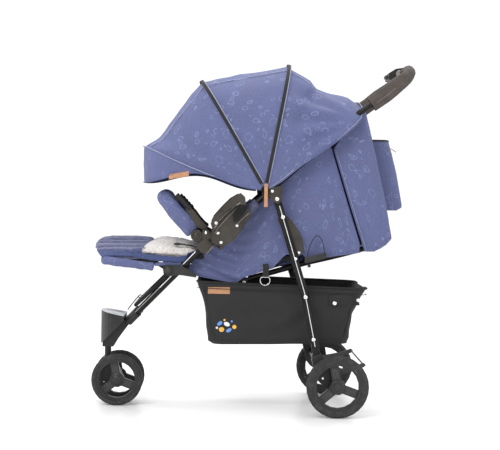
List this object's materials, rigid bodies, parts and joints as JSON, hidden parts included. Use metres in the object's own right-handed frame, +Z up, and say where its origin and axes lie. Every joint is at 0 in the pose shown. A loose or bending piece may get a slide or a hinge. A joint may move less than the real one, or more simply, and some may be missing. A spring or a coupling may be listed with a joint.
{
  "type": "lightweight stroller",
  "caption": "Lightweight folding stroller with twin front caster wheels, reclining seat, hooded canopy, bumper bar, leg rest and storage basket.",
  "frame": {"origin": "on the floor, under the middle of the bounding box", "axes": "+X to the rear (the stroller faces -X), +Y to the stroller's right side, +Z up"},
  "size_m": [0.9416, 0.514, 1.025],
  "materials": {
    "front_tube": "gloss black paint",
    "plastic": "moulded black",
    "frame": "gloss black paint",
    "tyre": "matt foam rubber",
    "grip": "closed-cell foam",
    "blue_cloth": "woven",
    "black_cloth": "woven",
    "tan_leather": "smooth"
  },
  "bodies": {
    "chassis": {"front_tube_left": "front_tube", "front_tube_right": "front_tube", "front_housing": "plastic", "footrest": "plastic", "footrest_brace": "frame", "fold_housing_left": "plastic", "fold_housing_right": "plastic", "bumper_socket_left": "plastic", "bumper_socket_right": "plastic", "leg_rest_joint_left": "plastic", "leg_rest_joint_right": "plastic", "basket": "black_cloth"},
    "bumper_release_left": {"bumper_button_left": "plastic"},
    "bumper_release_right": {"bumper_button_right": "plastic"},
    "caster": {"caster_fork": "plastic", "front_axle": "frame"},
    "front_wheel_left": {"front_rim_left": "plastic", "front_tyre_left": "tyre"},
    "front_wheel_right": {"front_rim_right": "plastic", "front_tyre_right": "tyre"},
    "handle": {"handle_tube": "frame", "handle_grip_left": "grip", "handle_grip_right": "grip", "fold_mechanism": "plastic", "leg_pivot_housing_left": "plastic", "leg_pivot_housing_right": "plastic", "canopy_rear_panel": "blue_cloth"},
    "fold_release": {"fold_trigger": "plastic"},
    "canopy_middle": {"canopy_middle_bow": "frame", "canopy_middle_panel": "blue_cloth"},
    "canopy_front": {"canopy_front_bow": "frame", "canopy_front_panel": "blue_cloth"},
    "zip_left": {"zip_pull_left": "tan_leather"},
    "zip_right": {"zip_pull_right": "tan_leather"},
    "rear_frame": {"rear_leg_left": "frame", "rear_leg_right": "frame", "rear_axle_tube": "frame", "wheel_bracket_left": "plastic", "wheel_bracket_right": "plastic"},
    "brake": {"brake_lever": "frame"},
    "rear_wheel_left": {"rear_rim_left": "plastic", "rear_tyre_left": "tyre"},
    "rear_wheel_right": {"rear_rim_right": "plastic", "rear_tyre_right": "tyre"},
    "seat": {"seat_rail_left": "frame", "seat_rail_right": "frame", "seat_board": "plastic", "seat_pad": "blue_cloth", "harness_buckle": "plastic", "side_panel_left": "blue_cloth", "side_panel_right": "blue_cloth"},
    "buckle_release": {"buckle_button": "plastic"},
    "backrest": {"backrest_frame": "frame", "backrest_pad": "blue_cloth", "back_panel": "blue_cloth", "storage_pocket": "blue_cloth"},
    "leg_rest": {"leg_rest_frame": "frame", "leg_rest_pad": "blue_cloth"},
    "bumper": {"bumper_bar": "frame", "bumper_cover": "blue_cloth"}
  },
  "joints": [
    {"name": "handle_fold", "type": "hinge", "parent": "chassis", "child": "handle", "pos_m": [-0.096, 0, 0.505], "axis": [0, -1, 0], "range_deg": [0, 100], "deforming": ["canopy_rear_panel", "canopy_middle_panel", "canopy_front_panel", "side_panel_left", "side_panel_right", "back_panel", "storage_pocket", "basket"]},
    {"name": "rear_leg_fold", "type": "hinge", "parent": "handle", "child": "rear_frame", "pos_m": [0.066, 0, 0.623], "axis": [0, -1, 0], "range_deg": [0, 1.1]},
    {"name": "seat_fold", "type": "hinge", "parent": "chassis", "child": "seat", "pos_m": [-0.17, 0, 0.4524], "axis": [0, -1, 0], "range_deg": [0, 72.9]},
    {"name": "backrest_recline", "type": "hinge", "parent": "seat", "child": "backrest", "pos_m": [-0.023, 0, 0.385], "axis": [0, -1, 0], "range_deg": [0, 45]},
    {"name": "leg_rest_tilt", "type": "hinge", "parent": "chassis", "child": "leg_rest", "pos_m": [-0.243, 0, 0.411], "axis": [0, -1, 0], "range_deg": [0, 38]},
    {"name": "bumper_tilt", "type": "hinge", "parent": "chassis", "child": "bumper", "pos_m": [-0.162, 0, 0.514], "axis": [0, -1, 0], "range_deg": [0, 30]},
    {"name": "bumper_button_left_press", "type": "slide", "parent": "chassis", "child": "bumper_release_left", "axis": [-0.7244, 0, 0.6894], "range_m": [0, 0.002], "stiffness_N_per_m": 400},
    {"name": "bumper_button_right_press", "type": "slide", "parent": "chassis", "child": "bumper_release_right", "axis": [-0.7244, 0, 0.6894], "range_m": [0, 0.002], "stiffness_N_per_m": 400},
    {"name": "caster_swivel", "type": "hinge", "parent": "chassis", "child": "caster", "pos_m": [-0.426, 0, 0.194], "axis": [0, 0, 1], "continuous": true},
    {"name": "front_wheel_left_spin", "type": "hinge", "parent": "caster", "child": "front_wheel_left", "pos_m": [-0.394, -0.0525, 0.076], "axis": [0, 1, 0], "continuous": true},
    {"name": "front_wheel_right_spin", "type": "hinge", "parent": "caster", "child": "front_wheel_right", "pos_m": [-0.394, 0.0525, 0.076], "axis": [0, 1, 0], "continuous": true},
    {"name": "rear_wheel_left_spin", "type": "hinge", "parent": "rear_frame", "child": "rear_wheel_left", "pos_m": [0.249, -0.24, 0.089], "axis": [0, 1, 0], "continuous": true},
    {"name": "rear_wheel_right_spin", "type": "hinge", "parent": "rear_frame", "child": "rear_wheel_right", "pos_m": [0.249, 0.24, 0.089], "axis": [0, 1, 0], "continuous": true},
    {"name": "brake_press", "type": "hinge", "parent": "rear_frame", "child": "brake", "pos_m": [0.232, 0, 0.118], "axis": [0, 1, 0], "range_deg": [0, 15]},
    {"name": "canopy_middle_fold", "type": "hinge", "parent": "handle", "child": "canopy_middle", "pos_m": [0.032, 0, 0.648], "axis": [0, 1, 0], "range_deg": [0, 30], "deforming": ["canopy_rear_panel", "canopy_middle_panel"]},
    {"name": "canopy_front_fold", "type": "hinge", "parent": "canopy_middle", "child": "canopy_front", "pos_m": [0.032, 0, 0.648], "axis": [0, 1, 0], "range_deg": [0, 35], "deforming": ["canopy_middle_panel", "canopy_front_panel"]},
    {"name": "zip_pull_left_swing", "type": "hinge", "parent": "canopy_middle", "child": "zip_left", "pos_m": [0.034, -0.2481, 0.662], "axis": [0, -1, 0], "range_deg": [-25, 25]},
    {"name": "zip_pull_right_swing", "type": "hinge", "parent": "canopy_middle", "child": "zip_right", "pos_m": [0.034, 0.2481, 0.662], "axis": [0, -1, 0], "range_deg": [-25, 25]},
    {"name": "fold_trigger_pull", "type": "slide", "parent": "handle", "child": "fold_release", "axis": [1, 0, 0], "range_m": [0, 0.004], "stiffness_N_per_m": 400},
    {"name": "buckle_button_press", "type": "slide", "parent": "seat", "child": "buckle_release", "axis": [0, 0, -1], "range_m": [0, 0.002], "stiffness_N_per_m": 400}
  ],
  "couplings": [
    {"joint": "rear_leg_fold", "follows": "handle_fold", "ratio": 0.011},
    {"joint": "seat_fold", "follows": "handle_fold", "ratio": 0.729},
    {"joint": "canopy_front_fold", "follows": "canopy_middle_fold", "ratio": 1.1667}
  ]
}
